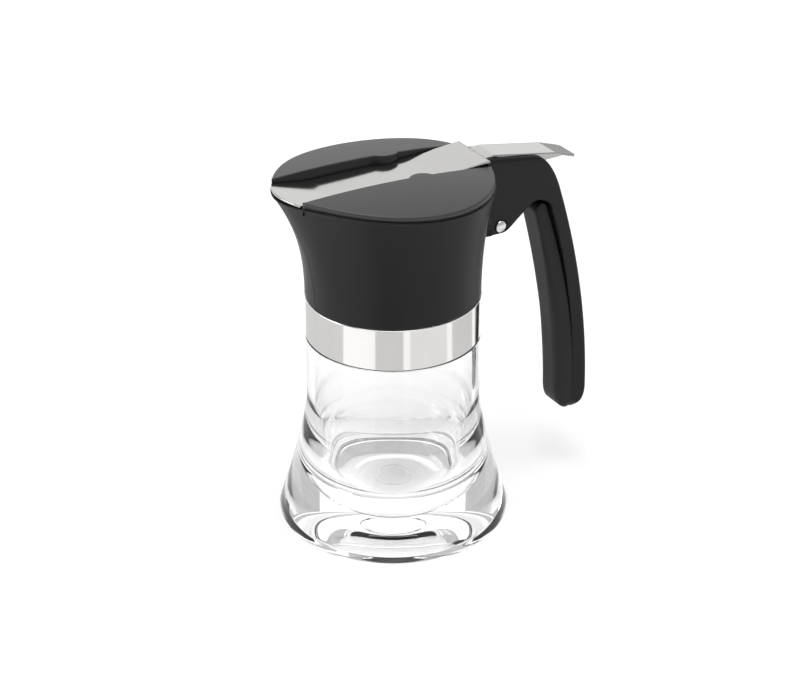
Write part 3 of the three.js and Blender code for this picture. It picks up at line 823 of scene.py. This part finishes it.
def sheetPoints(x, half, top, thick, edge):
    # Closed sections across Y for each x, with the sheet's edges rounded and its two ends drawn to a line.
    across = np.linspace(-1, 1, 33)
    roll = np.radians(np.linspace(0, 180, 9))
    widths, depths = [], []
    for part in across:
        widths.append(part * (half - edge))
        depths.append(np.zeros_like(half))
    for a in roll[1:-1]:
        widths.append(half - edge + edge * np.sin(a))
        depths.append(thick * (1 - np.cos(a)) / 2 + 0 * half)
    for part in across[::-1]:
        widths.append(part * (half - edge))
        depths.append(thick + 0 * half)
    for a in roll[1:-1]:
        widths.append(-(half - edge + edge * np.sin(a)))
        depths.append(thick * (1 + np.cos(a)) / 2 + 0 * half)
    width, depth = np.array(widths).T, np.array(depths).T
    place = np.broadcast_to(x[:, None], width.shape)
    return np.stack([place, width, top(place) - depth], axis=-1)


def platePoints():
    # The sheet, its front part drawn to the rim's curve, and a rolled row or two at each end.
    s = plateShape
    notch = np.linspace(-2.95, 9.95, 60)
    start = s["frontStart"]
    x = np.concatenate([
        np.linspace(start, notch[0], 60)[:-1], notch, np.linspace(notch[-1], s["rear"] - 0.3, 44)[1:],
    ])
    sheet = sheetPoints(x, plateHalf(x), plateTop, s["thick"], s["edge"])
    # The front follows the rim's curve: x goes from the straight part's end to the rim for each y.
    steps = np.linspace(1, 0, 14)[:-1]
    front = np.repeat(sheet[:1], len(steps), axis=0)
    turn = rimCrossing(np.abs(front[0, :, 1]), s["rimReach"])[0]
    rimX = -(rimRadius(turn) + s["rimReach"]) * np.cos(turn)
    front[..., 0] = start + steps[:, None] * (rimX - start)
    depth = plateTop(start) - sheet[0, :, 2]
    front[..., 2] = plateTop(front[..., 0]) - depth
    middle = depth - s["thick"] / 2

    def tip(row, outwards):
        # Two more rows that roll the sheet's end over and close it.
        ends = []
        for share in (0.7, 1.0):
            end = row.copy()
            end[:, 0] += outwards * s["tipRoll"] * share
            end[:, 2] += middle * (1 - np.sqrt(1 - share ** 2))
            ends.append(end)
        return ends

    foremost, rearmost = tip(front[0], -1), tip(sheet[-1], 1)
    return np.vstack([np.array(foremost[::-1]), front, sheet, np.array(rearmost)])


plate = gridMesh("coverSheet", platePoints(), sheetSteel)
enlist(plate, cover, "cover_plate")
print("cover plate made")


# Thumb lever: a folded strip with two side flanges that reach down to the pin

leverShape = {
    "thick": 0.9, "half": 5.95, "start": 24.0, "bend": 40.5, "lap": 1.1,
    "tipBend": (68.5, 139.3), "tip": (77.6, 136.3), "corner": 1.5, "edge": 0.3, "foldHalf": 0.75,
    "flangeHalf": 0.45, "flangeY": 5.48, "flangeRound": 0.12, "sunk": 0.35, "footRadius": 2.7, "pinHole": 1.8,
}


def stripTop(x):
    # Lies under the plate up to the bend, then falls straight to the thumb rest, steeper at its tip.
    s = leverShape
    bend = plateTop(s["bend"]) - s["lap"]
    line = np.interp(x, [s["bend"], s["tipBend"][0], s["tip"][0]], [bend, s["tipBend"][1], s["tip"][1]])
    return np.where(x < s["bend"], plateTop(x) - s["lap"], line)


def softStripTop(x):
    # The same line, averaged over a short length so that the folds are round.
    half = leverShape["foldHalf"]
    return np.mean([stripTop(x + d) for d in np.linspace(-half, half, 7)], axis=0)


def stripPoints():
    # Straight sides, with the tip's two corners rounded.
    s = leverShape
    tip = s["tip"][0] - s["corner"] * (1 - np.sin(np.radians(np.linspace(0, 84, 12))))
    x = np.concatenate([np.linspace(s["start"], s["tip"][0] - s["corner"], 120)[:-1], tip])
    past = np.clip(x - tip[0], 0, None) / s["corner"]
    inset = s["corner"] * (1 - np.sqrt(np.clip(1 - past ** 2, 0, 1)))
    return sheetPoints(x, s["half"] - inset, softStripTop, s["thick"], s["edge"])


def flangePoints(side):
    # A flat cheek between its upper and front line and its lower and rear line.
    s = leverShape
    pinX, pinZ = handleShape["pin"]
    foot = s["footRadius"]
    angle = np.radians(np.linspace(180, 270, 14))
    frontFoot = np.column_stack([pinX + foot * np.cos(angle), pinZ + foot * np.sin(angle)])
    rearFoot = np.column_stack([pinX - foot * np.cos(angle), pinZ + foot * np.sin(angle)])
    upper = np.linspace(70.5, 49, 30)
    top = np.column_stack([upper, softStripTop(upper) - s["sunk"]])
    turnIn = np.linspace(49, 41.6, 12)
    bow = bezier([(62.8, 137.2), (52, 136.4), (49.6, 130)], 20)
    front = np.column_stack([turnIn, softStripTop(turnIn) - s["sunk"]])
    lower, outer = paired([
        (np.vstack([[(71.0, 137.45)], [(62.8, 137.2)], bow]), top, 50),
        ([(49.6, 130), (48.9, 127.5)], front, 14),
        ([(48.9, 127.5), rearFoot[0]], [front[-1], frontFoot[0]], 30),
        (rearFoot, frontFoot, 16),
    ])
    points = barPoints(lower, outer, s["flangeHalf"], s["flangeRound"], s["flangeRound"], steps=3)
    points[..., 1] += side * s["flangeY"]
    return points


strip = gridMesh("leverStrip", stripPoints(), sheetSteel)
enlist(strip, cover, "thumb_lever")
for label, side in (("leverFlangeRight", 1), ("leverFlangeLeft", -1)):
    flange = gridMesh(label, flangePoints(side), sheetSteel)
    cutAway(flange, [crossRod(handleShape["pin"], leverShape["pinHole"], -9, 9)])
    enlist(flange, cover, "thumb_lever")
print("thumb lever made")


# Pin

pinShape = {"radius": 1.5, "headRadius": 2.4, "headStart": 7.5, "headHeight": 1.3, "segments": 64}


def pinPoints():
    # A turned profile with a domed head at each end, laid along Y.
    s = pinShape
    dome = arc(0, s["headStart"] + 0.25, s["headRadius"], s["headHeight"] - 0.25, 90, 0, 16)
    half = np.vstack([dome, [[s["headRadius"], s["headStart"]], [s["radius"], s["headStart"]]]])
    profile = np.vstack([half, (half * [1, -1])[::-1]])
    points = turnedPoints(profile, s["segments"])
    pinX, pinZ = handleShape["pin"]
    return np.stack([pinX + points[..., 0], points[..., 2], pinZ + points[..., 1]], axis=-1)


pin = gridMesh("pivotPin", pinPoints(), pinSteel)
enlist(pin, body, "pivot_pin")
print("pin made")


# Stage, camera and light

studio = {
    "floorSize": 6.0, "floorTone": 0.95, "worldTone": 1.0, "worldStrength": 0.55,
    "cameraPlace": (-0.3513, -0.6055, 0.4484), "cameraTurn": -30.34, "cameraPitch": 28.23,
    "lens": 93.53, "sensor": 36.0,
    # Name, place, target, size, watts.
    "lights": [
        ("topBox", (-0.1, -0.1, 1.35), (0, 0, 0.0), (1.1, 1.1), 13),
        ("backBox", (0.52, 0.88, 0.62), (0, 0, 0.12), (1.3, 0.7), 2.3),
        ("leftBox", (-1.0, 0.35, 0.5), (0, 0, 0.09), (0.4, 0.6), 1.6),
        ("lowLeftBox", (-0.75, 0.3, 0.1), (0, 0, 0.13), (0.5, 0.16), 1.1),
    ],
    # Grey sectors that only reflections show: painted shade on the band and the head.
    # From and to in degrees, near and far edge, tone.
    "shadeCards": [
        (92, 178, 0.1, 0.225, 0.6), (-141, -108, 0.1, 0.6, 0.6),
        (-100, -52, 0.1, 0.225, 0.74), (-44, -4, 0.1, 0.225, 0.6), (4, 18, 0.1, 0.225, 0.4),
    ],
}


def studioFloor():
    # White paper whose tone varies a little.
    half = studio["floorSize"] / 2
    corners = [(-half, -half, 0), (half, -half, 0), (half, half, 0), (-half, half, 0)]
    mesh = bpy.data.meshes.new("studioFloor")
    mesh.from_pydata(corners, [], [(0, 1, 2, 3)])
    floor = bpy.data.objects.new("studioFloor", mesh)
    bpy.context.scene.collection.objects.link(floor)
    material, tree, shader = newMaterial("palePaper", Roughness=0.9, Specular_IOR_Level=0.1)
    place = addNode(tree, "ShaderNodeTexCoord")
    noise = addNode(tree, "ShaderNodeTexNoise")
    noise.inputs["Scale"].default_value = 300
    tone = addNode(tree, "ShaderNodeMapRange")
    tone.inputs["To Min"].default_value = studio["floorTone"] - 0.01
    tone.inputs["To Max"].default_value = studio["floorTone"] + 0.01
    tree.links.new(place.outputs["Object"], noise.inputs["Vector"])
    tree.links.new(noise.outputs["Fac"], tone.inputs["Value"])
    tree.links.new(tone.outputs["Result"], shader.inputs["Base Color"])
    mesh.materials.append(material)


def softLight(name, place, target, size, power):
    # A soft box: a rectangular light at place, turned towards target. Metres and watts.
    lamp = bpy.data.lights.new(name, "AREA")
    lamp.shape = "RECTANGLE"
    lamp.size, lamp.size_y = size
    lamp.energy = power
    holder = bpy.data.objects.new(name, lamp)
    holder.location = place
    aim = Vector(target) - Vector(place)
    holder.rotation_euler = aim.to_track_quat("-Z", "Y").to_euler()
    bpy.context.scene.collection.objects.link(holder)


def reflectedShadeCard(name, fromDeg, toDeg, near, far, tone):
    # A grey sector on the floor that only shiny surfaces see: painted shade, standing in for shadowed floor
    # in the reflections on the band and the head. Metres, angles from +X towards +Y.
    count, lift = 24, 0.0004
    turn = np.radians(np.linspace(fromDeg, toDeg, count))
    points = np.vstack([
        np.column_stack([r * np.cos(turn), r * np.sin(turn), np.full(count, lift)]) for r in (near, far)
    ])
    quads = [(i, i + count, i + count + 1, i + 1) for i in range(count - 1)]
    mesh = bpy.data.meshes.new(name)
    mesh.from_pydata(points.tolist(), [], quads)
    card = bpy.data.objects.new(name, mesh)
    bpy.context.scene.collection.objects.link(card)
    material, tree, shader = newMaterial(name, Roughness=0.9, Specular_IOR_Level=0.0)
    place = addNode(tree, "ShaderNodeTexCoord")
    noise = addNode(tree, "ShaderNodeTexNoise")
    noise.inputs["Scale"].default_value = 12
    shade = addNode(tree, "ShaderNodeMapRange")
    shade.inputs["To Min"].default_value = tone * 0.92
    shade.inputs["To Max"].default_value = tone * 1.08
    tree.links.new(place.outputs["Object"], noise.inputs["Vector"])
    tree.links.new(noise.outputs["Fac"], shade.inputs["Value"])
    tree.links.new(shade.outputs["Result"], shader.inputs["Base Color"])
    mesh.materials.append(material)
    card.visible_camera = card.visible_diffuse = card.visible_shadow = card.visible_transmission = False


def paleWorld():
    world = bpy.data.worlds.new("paleStudio")
    bpy.context.scene.world = world
    world.use_nodes = True
    back = world.node_tree.nodes["Background"]
    tone = studio["worldTone"]
    back.inputs["Color"].default_value = (tone, tone, tone, 1)
    back.inputs["Strength"].default_value = studio["worldStrength"]


def photoCamera():
    lens = bpy.data.cameras.new("photoCamera")
    lens.sensor_width = studio["sensor"]
    lens.lens = studio["lens"]
    lens.clip_start, lens.clip_end = 0.01, 20
    camera = bpy.data.objects.new("photoCamera", lens)
    camera.location = studio["cameraPlace"]
    pitch, turn = math.radians(90 - studio["cameraPitch"]), math.radians(studio["cameraTurn"])
    camera.rotation_euler = (pitch, 0, turn)
    bpy.context.scene.collection.objects.link(camera)
    bpy.context.scene.camera = camera


studioFloor()
# Painted shade: grey sectors seen only in the band's and the head's reflections.
for number, card in enumerate(studio["shadeCards"]):
    reflectedShadeCard("reflectedShadeCard" + str(number + 1), *card)
paleWorld()
photoCamera()
for light in studio["lights"]:
    softLight(*light)
bpy.context.scene.view_settings.view_transform = "Standard"
print("stage and light made")
